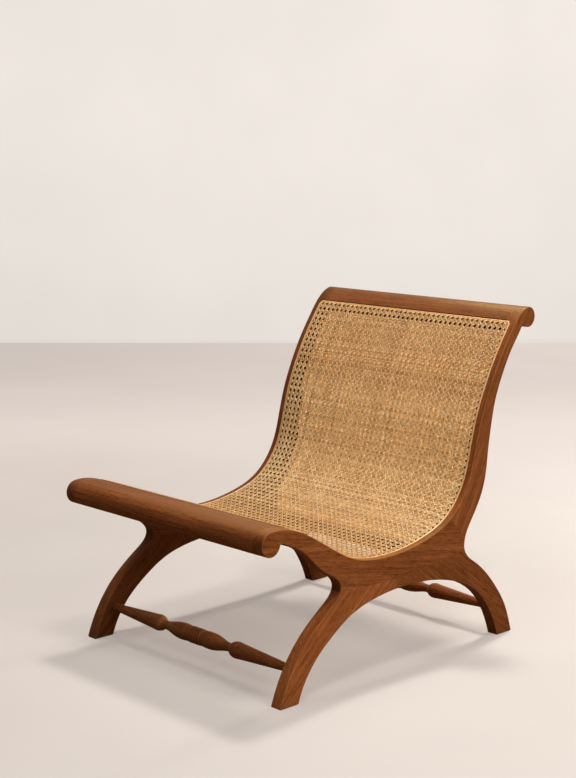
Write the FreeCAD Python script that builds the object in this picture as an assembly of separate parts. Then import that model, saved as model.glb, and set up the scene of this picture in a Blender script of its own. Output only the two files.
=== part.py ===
import FreeCAD, Part
import math
import os

# A cane lounge chair: two S-shaped side frames, a round front rail, a rolled crest rail,
# two turned stretchers and two sheets of cane.
# Millimetres, +Z up. The chair faces -Y, and its origin is on the floor under the middle of its box.

# Overall sizes
WIDTH = 616.0
DEPTH = 855.0
SIDE_THICKNESS = 28.0
OUTER_ROUNDING = 2.0
INNER_ROUNDING = 2.0
INNER_ROUNDING_STOP = 104.0
FOOT_CHAMFER = 1.5

# The side outline. Each point is depth from the front of the seat roll, then height above the floor.
SEAT_ROLL_RADIUS = 25.4
SEAT_ROLL_HEIGHT = 340.9
SEAT_ROLL_TOP_ANGLE = 100.0
SEAT_ROLL_BACK_ANGLE = -12.0
CREST_ROLL_RADIUS = 23.0
CREST_ROLL_HEIGHT = 731.0
CREST_ROLL_TOP_ANGLE = 105.0
CREST_ROLL_BOTTOM_ANGLE = -105.0
SITTING_CURVE = [
    (90.0, 359.0), (146.0, 333.7), (205.5, 299.7), (266.0, 270.8), (345.0, 257.3), (430.0, 260.0),
    (508.0, 275.5), (570.0, 301.0), (612.0, 340.0), (637.5, 385.0), (654.0, 445.0), (670.0, 509.0),
    (694.5, 573.0), (726.5, 637.0), (761.5, 692.0), (796.5, 736.0),
]
CREST_NOTCH = (815.0, 711.6)
POST_BACK_CURVE = [
    (804.0, 706.0), (774.0, 664.0), (744.0, 611.0), (721.5, 557.0), (708.0, 493.0), (700.5, 436.0),
    (695.0, 385.0), (681.0, 341.0), (647.5, 286.5), (632.5, 260.0),
]
REAR_CROTCH = (628.0, 236.0)
REAR_LEG_BACK_CURVE = [(647.0, 205.0), (669.0, 190.8), (709.5, 160.5), (752.0, 117.0), (788.5, 67.0)]
REAR_FOOT = (763.0, 816.5)
ARCH_CURVE = [
    (737.0, 55.5), (690.0, 112.0), (629.0, 148.0), (560.0, 169.5), (490.0, 180.0), (411.0, 181.5),
    (332.0, 173.0), (262.0, 153.0), (204.0, 118.5), (157.0, 79.0), (124.0, 33.0),
]
FRONT_FOOT = (58.6, 110.5)
FRONT_LEG_CURVE = [
    (78.0, 49.0), (110.0, 100.5), (157.0, 148.5), (200.0, 181.0), (220.0, 198.5), (227.0, 216.0),
    (219.0, 232.5), (190.0, 251.0), (151.0, 279.0), (124.0, 303.5), (96.0, 321.5), (72.0, 332.0),
]
SEAT_NOTCH_START = (60.5, 337.0)
SEAT_NOTCH = (54.8, 338.4)

# Glue lines of a side frame
LEG_MEETING = (400.0, 203.0)
FRONT_LEG_JOINT = (226.0, 208.0)
REAR_LEG_JOINT = (630.5, 226.0)
POST_JOINT_BACK = (630.2, 251.0)
POST_JOINT_FRONT = (574.0, 303.5)
POST_JOINT_PAST_BACK = 8.0
POST_JOINT_PAST_FRONT = 20.0

# Cross rails
FRONT_RAIL_BACK = 100.0
FRONT_RAIL_ABOVE = 300.0
CREST_RAIL_UNDER = [(772.6, 709.5), (794.7, 692.4)]
CREST_RAIL_PAST = 20.0
LOWER_RAIL_THICKNESS = 22.5
LOWER_RAIL_BOTTOM = 182.0
LOWER_RAIL_TOP = 210.0
LOWER_RAIL_ROUNDING = 3.0

# Dowels: sizes, the play round them and at their ends, and their places.
# A place is a share of the glue line in a side frame, and a depth and height in a cross rail.
DOWEL_RADIUS = 4.0
RAIL_DOWEL_RADIUS = 5.0
LEG_DOWEL_LENGTH = 38.0
POST_DOWEL_LENGTH = 50.0
RAIL_DOWEL_IN_SIDE = 19.0
RAIL_DOWEL_IN_RAIL = 30.0
DOWEL_PLAY = 0.05
DOWEL_END_PLAY = 1.0
FRONT_LEG_DOWELS = (0.18, 0.4, 0.62)
REAR_LEG_DOWELS = (0.3, 0.55, 0.8)
BACK_POST_DOWELS = (0.34, 0.56, 0.78)
FRONT_RAIL_SECOND_DOWEL = (75.0, 345.0)
CREST_RAIL_SECOND_DOWEL = (797.0, 717.0)
LOWER_RAIL_DOWELS = [(614.5, 189.5), (614.5, 202.5)]

# Turned stretchers: half of the turning, distance from the middle and radius
STRETCHER_HEIGHT = 65.0
FRONT_STRETCHER_DEPTH = 114.6
REAR_STRETCHER_DEPTH = 760.5
TENON_RADIUS = 6.5
TENON_LENGTH = 18.0
TENON_PLAY = 0.05
CENTRE_BEAD_HALF = 19.0
CENTRE_BEAD_RADIUS = 18.2
CENTRE_BEAD_EDGE_RADIUS = 17.6
CENTRE_BEAD_FLAT = 8.6
CENTRE_BEAD_BEND = 13.6
CENTRE_GROOVE = (20.5, 16.0)
SCRIBES = [(8.0, 18.2), (28.5, 17.6), (34.0, 18.1), (134.0, 17.1)]
SCRIBE_WIDTH = 1.2
SCRIBE_DEPTH = 0.7
VASE_CURVE = [(30.0, 17.8), (43.0, 18.4), (60.0, 16.9), (78.0, 13.0), (90.0, 10.3)]
NECK = (99.0, 9.4)
COVE = (108.0, 11.4)
COLLAR_START = (113.5, 15.6)
COLLAR = (121.0, 17.7)
COLLAR_END = (131.0, 17.3)
STRETCHER_END_RADIUS = 7.8

# Cane and the reed splines that wedge it into its grooves
CANE_THICKNESS = 1.6
SPLINE_OUTER = 294.0
SPLINE_WIDTH = 5.0
SPLINE_DEPTH = 5.0
SPLINE_PROUD = 1.2
CORNER_RADIUS = 16.0
CORNER_REACH = 40.0
FRONT_SPLINE_DEPTH = 82.0
FRONT_PANEL_TOP = 786.0
REAR_PANEL_TOP = 802.0
REAR_SIDE_SPLINE_END = 254.0
REAR_SPLINE_HEIGHT = 196.0
REAR_TAIL_CLEARANCE = 1.0

# The sitting sheet's open mesh, as a plain grid of square openings
MESH_COLUMNS = 12
MESH_ROWS = 17
MESH_OPENING = 23.0
MESH_REACH = 6.0

HALF_WIDTH = WIDTH / 2
INNER_FACE = HALF_WIDTH - SIDE_THICKNESS
SIDE_MIDDLE = HALF_WIDTH - SIDE_THICKNESS / 2
SPLINE_INNER = SPLINE_OUTER - SPLINE_WIDTH
ALONG_X = FreeCAD.Vector(1, 0, 0)

# Reaches of cutting blocks, and the fineness of curves that are worked out point by point
FAR = 1000.0
OUTSIDE = -10.0
REAR_HALF = 500.0
PANEL_CUT_DEPTH = 25.0
PANEL_CUT_HEIGHT = 120.0
OFFSET_STEPS = 60
HALVINGS = 60
TOUCHING = 0.01


def at(depth, height, x=0.0):
    """A point from its depth behind the seat roll's front, its height and its place across."""
    return FreeCAD.Vector(x, depth - DEPTH / 2, height)


def on_roll(depth, height, radius, angle):
    """Depth and height of a point on a roll's circle."""
    turn = math.radians(angle)
    return (depth + radius * math.cos(turn), height + radius * math.sin(turn))


def heading(angle):
    """Direction along a circle at an angle, going clockwise."""
    turn = math.radians(angle)
    return FreeCAD.Vector(0, math.sin(turn), -math.cos(turn))


def smooth_curve(points, start=None, end=None):
    """A smooth curve through points of depth and height, with end directions where they matter."""
    curve = Part.BSplineCurve()
    places = [at(*point) for point in points]
    if start is None:
        curve.interpolate(Points=places)
    else:
        curve.interpolate(
            Points=places, InitialTangent=start.normalize(), FinalTangent=end.normalize(), Scale=False
        )
    return curve


def arc_through(first, middle, last):
    return Part.Arc(at(*first), at(*middle), at(*last))


def line(first, last):
    return Part.LineSegment(at(*first), at(*last))


def beyond(first, last, distance):
    """The point past the end of a line, at a distance from it."""
    run = (last[0] - first[0], last[1] - first[1])
    share = distance / math.hypot(*run)
    return (last[0] + run[0] * share, last[1] + run[1] * share)


def prism(points, x_from, x_to):
    """A block with an outline of depths and heights, reaching across from one place to another."""
    outline = [at(depth, height, x_from) for depth, height in points]
    face = Part.Face(Part.makePolygon(outline + outline[:1]))
    return face.extrude(ALONG_X * (x_to - x_from))


def zone(depth_from, depth_to, height_from, height_to):
    """A square block right across the chair, between two depths and two heights."""
    corners = [
        (depth_from, height_from), (depth_to, height_from), (depth_to, height_to), (depth_from, height_to)
    ]
    return prism(corners, -FAR, FAR)


def rod(depth, height, x_from, x_to, radius):
    """A round bar that runs across the chair."""
    return Part.makeCylinder(radius, x_to - x_from, at(depth, height, x_from), ALONG_X)


def normal_at(curve, parameter):
    """The unit normal on the left of a curve's travel, in the plane of the side frame."""
    along = curve.tangent(parameter)[0]
    return FreeCAD.Vector(0, -along.z, along.y).normalize()


def shifted(curve, distance):
    """The same curve, moved along its normals."""
    if distance == 0:
        return curve
    first = curve.FirstParameter
    step = (curve.LastParameter - first) / OFFSET_STEPS
    places = []
    for index in range(OFFSET_STEPS + 1):
        parameter = first + index * step
        places.append(curve.value(parameter) + normal_at(curve, parameter) * distance)
    moved = Part.BSplineCurve()
    moved.interpolate(Points=places)
    return moved


def band(curve, low, high, x_from, x_to):
    """A strip that follows a curve, between two distances from it, reaching across."""
    inner = shifted(curve, low)
    outer = shifted(curve, high)
    ends = [
        Part.LineSegment(inner.EndPoint, outer.EndPoint),
        Part.LineSegment(outer.StartPoint, inner.StartPoint),
    ]
    outline = Part.Wire(Part.__sortEdges__([part.toShape() for part in [inner, outer] + ends]))
    face = Part.Face(outline)
    face.translate(ALONG_X * x_from)
    return face.extrude(ALONG_X * (x_to - x_from))


def depth_parameter(curve, depth):
    """The parameter where a curve reaches a depth."""
    low, high = curve.FirstParameter, curve.LastParameter
    wanted = depth - DEPTH / 2
    rising = curve.value(high).y > curve.value(low).y
    for _ in range(HALVINGS):
        middle = (low + high) / 2
        if (curve.value(middle).y < wanted) == rising:
            low = middle
        else:
            high = middle
    return (low + high) / 2


def clean(shape):
    """One tidy solid, or a group of them."""
    solids = shape.removeSplitter().Solids
    return solids[0] if len(solids) == 1 else Part.makeCompound(solids)


# The curves of the side outline
SEAT_ROLL_DEPTH = SEAT_ROLL_RADIUS
CREST_ROLL_DEPTH = DEPTH - CREST_ROLL_RADIUS
SEAT_ROLL = (SEAT_ROLL_DEPTH, SEAT_ROLL_HEIGHT, SEAT_ROLL_RADIUS)
CREST_ROLL = (CREST_ROLL_DEPTH, CREST_ROLL_HEIGHT, CREST_ROLL_RADIUS)
seat_roll_top = on_roll(*SEAT_ROLL, SEAT_ROLL_TOP_ANGLE)
seat_roll_back = on_roll(*SEAT_ROLL, SEAT_ROLL_BACK_ANGLE)
seat_roll_front = on_roll(*SEAT_ROLL, 180.0)
crest_roll_top = on_roll(*CREST_ROLL, CREST_ROLL_TOP_ANGLE)
crest_roll_back = on_roll(*CREST_ROLL, 0.0)
crest_roll_bottom = on_roll(*CREST_ROLL, CREST_ROLL_BOTTOM_ANGLE)

sitting_curve = smooth_curve(
    [seat_roll_top] + SITTING_CURVE + [crest_roll_top],
    heading(SEAT_ROLL_TOP_ANGLE),
    heading(CREST_ROLL_TOP_ANGLE),
)
STRAIGHT_DOWN = FreeCAD.Vector(0, 0, -1)
POST_TOP_HEADING = FreeCAD.Vector(0, -0.5, -0.87)
REAR_FOOT_HEADING = FreeCAD.Vector(0, 0.35, -0.94)
UNDER_SEAT_HEADING = FreeCAD.Vector(0, -0.93, 0.37)
FRONT_FOOT_HEADING = FreeCAD.Vector(0, 0.29, 0.96)
post_back = smooth_curve(POST_BACK_CURVE + [REAR_CROTCH], POST_TOP_HEADING, STRAIGHT_DOWN)
rear_leg_back = smooth_curve(
    [REAR_CROTCH] + REAR_LEG_BACK_CURVE + [(REAR_FOOT[1], 0.0)], STRAIGHT_DOWN, REAR_FOOT_HEADING
)
arch = smooth_curve([(REAR_FOOT[0], 0.0)] + ARCH_CURVE + [(FRONT_FOOT[1], 0.0)])
front_leg_front = smooth_curve(
    [(FRONT_FOOT[0], 0.0)] + FRONT_LEG_CURVE + [SEAT_NOTCH_START], FRONT_FOOT_HEADING, UNDER_SEAT_HEADING
)
crest_notch = smooth_curve(
    [crest_roll_bottom, CREST_NOTCH, POST_BACK_CURVE[0]], heading(CREST_ROLL_BOTTOM_ANGLE), POST_TOP_HEADING
)
seat_notch = smooth_curve(
    [SEAT_NOTCH_START, SEAT_NOTCH, seat_roll_back], UNDER_SEAT_HEADING, heading(SEAT_ROLL_BACK_ANGLE)
)


def side_outline():
    """The whole side frame as one face, in the middle plane of the chair."""
    edges = [
        sitting_curve,
        arc_through(crest_roll_top, crest_roll_back, crest_roll_bottom),
        crest_notch,
        post_back,
        rear_leg_back,
        line((REAR_FOOT[1], 0.0), (REAR_FOOT[0], 0.0)),
        arch,
        line((FRONT_FOOT[1], 0.0), (FRONT_FOOT[0], 0.0)),
        front_leg_front,
        seat_notch,
        arc_through(seat_roll_back, seat_roll_front, seat_roll_top),
    ]
    return Part.Face(Part.Wire([edge.toShape() for edge in edges]))


def across(face, x_from, x_to):
    """A flat face carried across the chair."""
    moved = face.copy()
    moved.translate(ALONG_X * x_from)
    return moved.extrude(ALONG_X * (x_to - x_from))


def curved_edges_at(solid, x):
    """The outline edges of a side piece on one of its flat faces, without straight cuts."""
    found = []
    for edge in solid.Edges:
        box = edge.BoundBox
        flat = abs(box.XMin - x) < TOUCHING and abs(box.XMax - x) < TOUCHING
        if flat and not isinstance(edge.Curve, Part.Line):
            found.append(edge)
    return found


def foot_edges(solid):
    return [edge for edge in solid.Edges if edge.BoundBox.ZMax < TOUCHING]


def joint_blocks():
    """The blocks that divide a side frame along its glue lines."""
    x_from, x_to = INNER_FACE - 1, HALF_WIDTH + 1
    middle = LEG_MEETING[0]
    past_front_leg = beyond(LEG_MEETING, FRONT_LEG_JOINT, FRONT_LEG_JOINT[0])
    front_block = prism(
        [LEG_MEETING, past_front_leg, (past_front_leg[0], OUTSIDE), (middle, OUTSIDE)], x_from, x_to
    )
    rear_block = prism(
        [LEG_MEETING, (middle, OUTSIDE), (FAR, OUTSIDE), (FAR, REAR_LEG_JOINT[1]), REAR_LEG_JOINT],
        x_from, x_to,
    )
    past_back = beyond(POST_JOINT_FRONT, POST_JOINT_BACK, POST_JOINT_PAST_BACK)
    past_front = beyond(POST_JOINT_BACK, POST_JOINT_FRONT, POST_JOINT_PAST_FRONT)
    post_block = prism(
        [past_back, past_front, (past_front[0], FAR), (FAR, FAR), (FAR, past_back[1])], x_from, x_to
    )
    return front_block, rear_block, post_block


def stopped_rounding(seat_rail):
    """The seat rail with its lower inner edge rounded, from the leg to just short of the front rail."""
    front = zone(OUTSIDE, INNER_ROUNDING_STOP, 0, FAR)
    rest = seat_rail.cut(front)
    lower = [
        edge for edge in curved_edges_at(rest, INNER_FACE)
        if edge.CenterOfMass.y < at(*FRONT_LEG_JOINT).y
    ]
    return clean(rest.makeFillet(INNER_ROUNDING, lower).fuse(seat_rail.common(front)))


def side_pieces(outline):
    """The right side frame: seat rail, back post, front leg and rear leg."""
    whole = across(outline, INNER_FACE, HALF_WIDTH)
    front_block, rear_block, post_block = joint_blocks()
    pieces = {
        "front_leg": whole.common(front_block),
        "rear_leg": whole.common(rear_block),
        "back_post": whole.common(post_block),
        "seat_rail": whole.cut(front_block).cut(rear_block).cut(post_block),
    }
    for name, piece in pieces.items():
        piece = clean(piece)
        pieces[name] = piece.makeFillet(OUTER_ROUNDING, curved_edges_at(piece, HALF_WIDTH))
    for name in ("front_leg", "rear_leg"):
        leg = pieces[name]
        leg = leg.makeFillet(INNER_ROUNDING, curved_edges_at(leg, INNER_FACE))
        pieces[name] = leg.makeChamfer(FOOT_CHAMFER, foot_edges(leg))
    pieces["seat_rail"] = stopped_rounding(pieces["seat_rail"])
    return pieces


def dowels_on_joint(first, last, places, length):
    """Dowels square to a glue line, at shares of its length, with the bores that they need."""
    along = at(*last) - at(*first)
    direction = FreeCAD.Vector(0, -along.z, along.y).normalize()
    dowels, bores = [], []
    for share in places:
        middle = at(*first) + along * share + ALONG_X * SIDE_MIDDLE
        start = middle - direction * (length / 2)
        dowels.append(Part.makeCylinder(DOWEL_RADIUS, length, start, direction))
        bore_start = start - direction * DOWEL_END_PLAY
        bore_length = length + 2 * DOWEL_END_PLAY
        bores.append(Part.makeCylinder(DOWEL_RADIUS + DOWEL_PLAY, bore_length, bore_start, direction))
    return Part.makeCompound(dowels), bores


def rail_dowels(places, radius):
    """Dowels across both ends of a cross rail, with the bores that they need."""
    dowels, bores = [], []
    length = RAIL_DOWEL_IN_SIDE + RAIL_DOWEL_IN_RAIL
    for side in (-1, 1):
        ends = sorted([side * (INNER_FACE - RAIL_DOWEL_IN_RAIL), side * (INNER_FACE + RAIL_DOWEL_IN_SIDE)])
        for depth, height in places:
            dowels.append(rod(depth, height, ends[0], ends[0] + length, radius))
            bore_ends = (ends[0] - DOWEL_END_PLAY, ends[1] + DOWEL_END_PLAY)
            bores.append(rod(depth, height, *bore_ends, radius + DOWEL_PLAY))
    return Part.makeCompound(dowels), bores


def scribe(x, radius):
    """A cutting ring that leaves a fine line round a turned piece."""
    tip = FreeCAD.Vector(x, radius - SCRIBE_DEPTH, 0)
    mouth = [FreeCAD.Vector(x + side * SCRIBE_WIDTH, radius + SCRIBE_DEPTH, 0) for side in (-1, 1)]
    profile = Part.Face(Part.makePolygon([tip] + mouth + [tip]))
    return profile.revolve(FreeCAD.Vector(0, 0, 0), ALONG_X, 360)


def stretcher(depth):
    """A turned stretcher with round tenons, symmetrical about the middle of the chair."""
    vase = Part.BSplineCurve()
    vase_points = [CENTRE_GROOVE] + VASE_CURVE + [NECK]
    vase.interpolate(Points=[FreeCAD.Vector(x, radius, 0) for x, radius in vase_points])

    def straight(first, last):
        return Part.LineSegment(FreeCAD.Vector(*first, 0), FreeCAD.Vector(*last, 0))

    def bend(first, middle, last):
        points = [FreeCAD.Vector(*point, 0) for point in (first, middle, last)]
        return Part.Arc(*points)

    tenon_end = INNER_FACE + TENON_LENGTH
    bead_edge = (CENTRE_BEAD_HALF, CENTRE_BEAD_EDGE_RADIUS)
    bead_crown = (CENTRE_BEAD_BEND, CENTRE_BEAD_RADIUS)
    bead_flat = (CENTRE_BEAD_FLAT, CENTRE_BEAD_RADIUS)
    parts = [
        straight((0, 0), (0, CENTRE_BEAD_RADIUS)),
        straight((0, CENTRE_BEAD_RADIUS), bead_flat),
        bend(bead_flat, bead_crown, bead_edge),
        straight(bead_edge, CENTRE_GROOVE),
        vase,
        bend(NECK, COVE, COLLAR_START),
        bend(COLLAR_START, COLLAR, COLLAR_END),
        straight(COLLAR_END, (INNER_FACE, STRETCHER_END_RADIUS)),
        straight((INNER_FACE, STRETCHER_END_RADIUS), (INNER_FACE, TENON_RADIUS)),
        straight((INNER_FACE, TENON_RADIUS), (tenon_end, TENON_RADIUS)),
        straight((tenon_end, TENON_RADIUS), (tenon_end, 0)),
        straight((tenon_end, 0), (0, 0)),
    ]
    profile = Part.Face(Part.Wire([part.toShape() for part in parts]))
    half = profile.revolve(FreeCAD.Vector(0, 0, 0), ALONG_X, 360)
    for place in SCRIBES:
        half = half.cut(scribe(*place))
    turned = clean(half.fuse(mirrored(half)))
    turned.translate(at(depth, STRETCHER_HEIGHT))
    return turned


def tenon_bore(depth):
    """The blind hole for a stretcher's right tenon."""
    end = INNER_FACE + TENON_LENGTH + DOWEL_END_PLAY
    return rod(depth, STRETCHER_HEIGHT, INNER_FACE - 1, end, TENON_RADIUS + TENON_PLAY)


def panel_frame(curve, depth):
    """The place on a curve at a depth, with its direction towards the crest and its normal."""
    parameter = depth_parameter(curve, depth)
    upward = curve.tangent(parameter)[0].normalize()
    if upward.z < 0:
        upward = upward * -1
    return curve.value(parameter), upward, normal_at(curve, parameter)


def rounded_top(frame, half, corner, reach, drop):
    """A block through a panel's top: straight below, with two rounded corners above.

    The block's top edge is drop below the frame's place, and it reaches down past the corners.
    """
    place, upward, normal = frame
    base = place - upward * drop

    def corner_point(x, up):
        return base + ALONG_X * x + upward * up - normal * PANEL_CUT_DEPTH

    slant = corner * (1 - math.sqrt(0.5))
    parts = []
    for side in (1, -1):
        outer = corner_point(side * half, -corner)
        middle = corner_point(side * (half - slant), -slant)
        inner = corner_point(side * (half - corner), 0)
        parts.append(Part.Arc(outer, middle, inner).toShape())
        parts.append(Part.LineSegment(corner_point(side * half, -reach), outer).toShape())
    parts.append(Part.LineSegment(corner_point(half - corner, 0), corner_point(corner - half, 0)).toShape())
    parts.append(Part.LineSegment(corner_point(half, -reach), corner_point(-half, -reach)).toShape())
    face = Part.Face(Part.Wire(Part.__sortEdges__(parts)))
    return face.extrude(normal * (2 * PANEL_CUT_DEPTH))


def above_panel_frame(frame, reach):
    """A block that covers everything from reach below the frame's place upwards."""
    place, upward, normal = frame
    low = place - upward * reach
    corners = [low - normal * PANEL_CUT_DEPTH, low + normal * PANEL_CUT_DEPTH]
    corners += [corners[1] + upward * PANEL_CUT_HEIGHT, corners[0] + upward * PANEL_CUT_HEIGHT]
    corners = [point - ALONG_X * HALF_WIDTH for point in corners]
    return Part.Face(Part.makePolygon(corners + corners[:1])).extrude(ALONG_X * WIDTH)


def top_spline(curve, frame):
    """The reed along a panel's top, with its rounded corners."""
    strip = band(curve, -SPLINE_DEPTH, SPLINE_PROUD, -SPLINE_OUTER - 1, SPLINE_OUTER + 1)
    outside = rounded_top(frame, SPLINE_OUTER, CORNER_RADIUS, CORNER_REACH, 0.0)
    inside = rounded_top(
        frame, SPLINE_INNER, CORNER_RADIUS - SPLINE_WIDTH, CORNER_REACH, SPLINE_WIDTH
    )
    return clean(strip.common(outside.cut(inside)))


def side_spline(curve, frame, lower_block):
    """The reed along a panel's right side, below the top corner."""
    strip = band(curve, -SPLINE_DEPTH, SPLINE_PROUD, SPLINE_INNER, SPLINE_OUTER)
    return clean(strip.cut(above_panel_frame(frame, CORNER_REACH)).cut(lower_block))


def sheet_top(sheet, frame):
    """A cane sheet trimmed to the inside of its top spline."""
    inside = rounded_top(
        frame, SPLINE_INNER, CORNER_RADIUS - SPLINE_WIDTH, CORNER_REACH + 1, SPLINE_WIDTH
    )
    return sheet.cut(above_panel_frame(frame, CORNER_REACH).cut(inside))


def mesh_openings(curve, depth_from, depth_to):
    """Square blocks through a sheet, in even rows along its curve between two depths."""
    first, last = depth_parameter(curve, depth_from), depth_parameter(curve, depth_to)
    row_pitch = curve.length(first, last) / MESH_ROWS
    column_pitch = 2 * INNER_FACE / MESH_COLUMNS
    blocks = []
    for row in range(MESH_ROWS):
        parameter = curve.parameterAtDistance((row + 0.5) * row_pitch, first)
        upward = curve.tangent(parameter)[0].normalize() * MESH_OPENING
        normal = normal_at(curve, parameter) * MESH_REACH
        sideways = ALONG_X * MESH_OPENING
        for column in range(MESH_COLUMNS):
            middle = curve.value(parameter) + ALONG_X * ((column + 0.5) * column_pitch - INNER_FACE)
            corner = middle - upward / 2 - sideways / 2 - normal
            corners = [corner, corner + sideways, corner + sideways + upward, corner + upward, corner]
            blocks.append(Part.Face(Part.makePolygon(corners)).extrude(normal * 2))
    return Part.makeCompound(blocks)


def cane_pieces():
    """Both cane sheets and their splines, for the right side where a piece is one-sided."""
    pieces = {}
    front_frame = panel_frame(sitting_curve, FRONT_PANEL_TOP)
    front_end = FRONT_SPLINE_DEPTH + SPLINE_WIDTH
    before = zone(OUTSIDE, FRONT_SPLINE_DEPTH, 0, FAR)
    before_sheet = zone(OUTSIDE, front_end, 0, FAR)
    strip = band(sitting_curve, -SPLINE_DEPTH, SPLINE_PROUD, -SPLINE_INNER, SPLINE_INNER)
    pieces["front_cane_top_spline"] = top_spline(sitting_curve, front_frame)
    pieces["front_cane_side_spline"] = side_spline(sitting_curve, front_frame, before)
    pieces["front_cane_front_spline"] = clean(strip.common(before_sheet).cut(before))
    sheet = band(sitting_curve, 0, CANE_THICKNESS, -SPLINE_INNER, SPLINE_INNER)
    sheet = sheet_top(sheet.cut(before_sheet), front_frame)
    openings = mesh_openings(sitting_curve, FRONT_RAIL_BACK, CREST_RAIL_UNDER[0][0])
    pieces["front_cane"] = clean(sheet.cut(openings))

    rear_frame = panel_frame(post_back, REAR_PANEL_TOP)
    below = zone(REAR_HALF, FAR, 0, REAR_SIDE_SPLINE_END)
    pieces["rear_cane_top_spline"] = top_spline(post_back, rear_frame)
    pieces["rear_cane_side_spline"] = side_spline(post_back, rear_frame, below)
    sheet = band(post_back, 0, CANE_THICKNESS, -SPLINE_INNER, SPLINE_INNER).cut(below)
    half_tail = INNER_FACE - REAR_TAIL_CLEARANCE
    tail_back = REAR_CROTCH[0] + CANE_THICKNESS
    spline_top = REAR_SPLINE_HEIGHT + SPLINE_WIDTH
    tail = band(post_back, 0, CANE_THICKNESS, -half_tail, half_tail).common(below)
    tail = tail.fuse(prism(
        [(REAR_CROTCH[0], REAR_CROTCH[1]), (tail_back, REAR_CROTCH[1]), (tail_back, spline_top),
         (REAR_CROTCH[0], spline_top)], -half_tail, half_tail,
    ))
    pieces["rear_cane"] = clean(sheet_top(sheet, rear_frame).fuse(tail))
    spline_front = REAR_CROTCH[0] - SPLINE_DEPTH
    spline_back = REAR_CROTCH[0] + SPLINE_PROUD
    pieces["rear_cane_bottom_spline"] = prism(
        [(spline_front, REAR_SPLINE_HEIGHT), (spline_back, REAR_SPLINE_HEIGHT),
         (spline_back, spline_top), (spline_front, spline_top)], -half_tail, half_tail,
    )
    return pieces


def crest_block():
    """Everything above the crest rail's slanted underside, between the side frames."""
    under_front, under_rear = CREST_RAIL_UNDER
    past_front = beyond(under_rear, under_front, CREST_RAIL_PAST)
    past_rear = beyond(under_front, under_rear, CREST_RAIL_PAST)
    return prism(
        [past_front, past_rear, (FAR, past_rear[1]), (FAR, FAR), (past_front[0], FAR)],
        -INNER_FACE, INNER_FACE,
    )


def lower_back_rail():
    """The plain cross rail that carries the rear cane's lower end."""
    front = REAR_CROTCH[0] - LOWER_RAIL_THICKNESS
    rail = prism(
        [(front, LOWER_RAIL_BOTTOM), (REAR_CROTCH[0], LOWER_RAIL_BOTTOM),
         (REAR_CROTCH[0], LOWER_RAIL_TOP), (front, LOWER_RAIL_TOP)], -INNER_FACE, INNER_FACE,
    )
    long_edges = [edge for edge in rail.Edges if edge.Length > INNER_FACE]
    return rail.makeFillet(LOWER_RAIL_ROUNDING, long_edges)


def mirrored(shape):
    return shape.mirror(FreeCAD.Vector(0, 0, 0), ALONG_X)


def relieved(shape, tools):
    """A piece with room cut in it for the pieces that it holds."""
    for tool in tools:
        if shape.BoundBox.intersect(tool.BoundBox):
            shape = shape.cut(tool)
    return clean(shape)


def build():
    """Every piece of the chair, by name."""
    outline = side_outline()
    side = side_pieces(outline)
    cane = cane_pieces()
    splines = [piece for name, piece in cane.items() if name.endswith("_spline")]

    between = across(outline, -INNER_FACE, INNER_FACE)
    rails = {
        "front_rail": between.common(zone(OUTSIDE, FRONT_RAIL_BACK, FRONT_RAIL_ABOVE, FAR)),
        "crest_rail": between.common(crest_block()),
        "lower_back_rail": lower_back_rail(),
    }

    side_dowels, side_bores = {}, []
    side_joints = {
        "front_leg_dowels": (FRONT_LEG_JOINT, LEG_MEETING, FRONT_LEG_DOWELS, LEG_DOWEL_LENGTH),
        "rear_leg_dowels": (LEG_MEETING, REAR_LEG_JOINT, REAR_LEG_DOWELS, LEG_DOWEL_LENGTH),
        "back_post_dowels": (POST_JOINT_BACK, POST_JOINT_FRONT, BACK_POST_DOWELS, POST_DOWEL_LENGTH),
    }
    for name, joint in side_joints.items():
        side_dowels[name], bores = dowels_on_joint(*joint)
        side_bores += bores

    rail_joints = {
        "front_rail_dowels": ([SEAT_ROLL[:2], FRONT_RAIL_SECOND_DOWEL], RAIL_DOWEL_RADIUS),
        "crest_rail_dowels": ([CREST_ROLL[:2], CREST_RAIL_SECOND_DOWEL], RAIL_DOWEL_RADIUS),
        "lower_back_rail_dowels": (LOWER_RAIL_DOWELS, DOWEL_RADIUS),
    }
    rail_dowel_nodes, rail_bores = {}, []
    for name, joint in rail_joints.items():
        rail_dowel_nodes[name], bores = rail_dowels(*joint)
        rail_bores += bores

    nodes = {}
    tools = splines + side_bores + rail_bores
    tools += [tenon_bore(FRONT_STRETCHER_DEPTH), tenon_bore(REAR_STRETCHER_DEPTH)]
    for name, piece in side.items():
        right = relieved(piece, tools)
        nodes["right_" + name] = right
        nodes["left_" + name] = mirrored(right)
    for name, piece in side_dowels.items():
        nodes["right_" + name] = piece
        nodes["left_" + name] = mirrored(piece)
    both_splines = splines + [mirrored(cane[name]) for name in cane if name.endswith("_side_spline")]
    for name, piece in rails.items():
        nodes[name] = relieved(piece, both_splines + rail_bores)
    nodes.update(rail_dowel_nodes)
    nodes["front_stretcher"] = stretcher(FRONT_STRETCHER_DEPTH)
    nodes["rear_stretcher"] = stretcher(REAR_STRETCHER_DEPTH)
    for name, piece in cane.items():
        if name.endswith("_side_spline"):
            panel = name.replace("_side_spline", "")
            nodes[panel + "_right_spline"] = piece
            nodes[panel + "_left_spline"] = mirrored(piece)
        else:
            nodes[name] = piece
    return nodes


os.makedirs("parts", exist_ok=True)
for node, shape in sorted(build().items()):
    shape.exportStep(os.path.join("parts", node + ".step"))
    box = shape.BoundBox
    print(
        "%-26s valid %s solids %d volume %9.0f  x %.1f %.1f  y %.1f %.1f  z %.1f %.1f"
        % (node, shape.isValid(), len(shape.Solids), shape.Volume,
           box.XMin, box.XMax, box.YMin, box.YMax, box.ZMin, box.ZMax)
    )
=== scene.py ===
import math

import bpy
import numpy as np
from mathutils import Matrix, Vector


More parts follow.
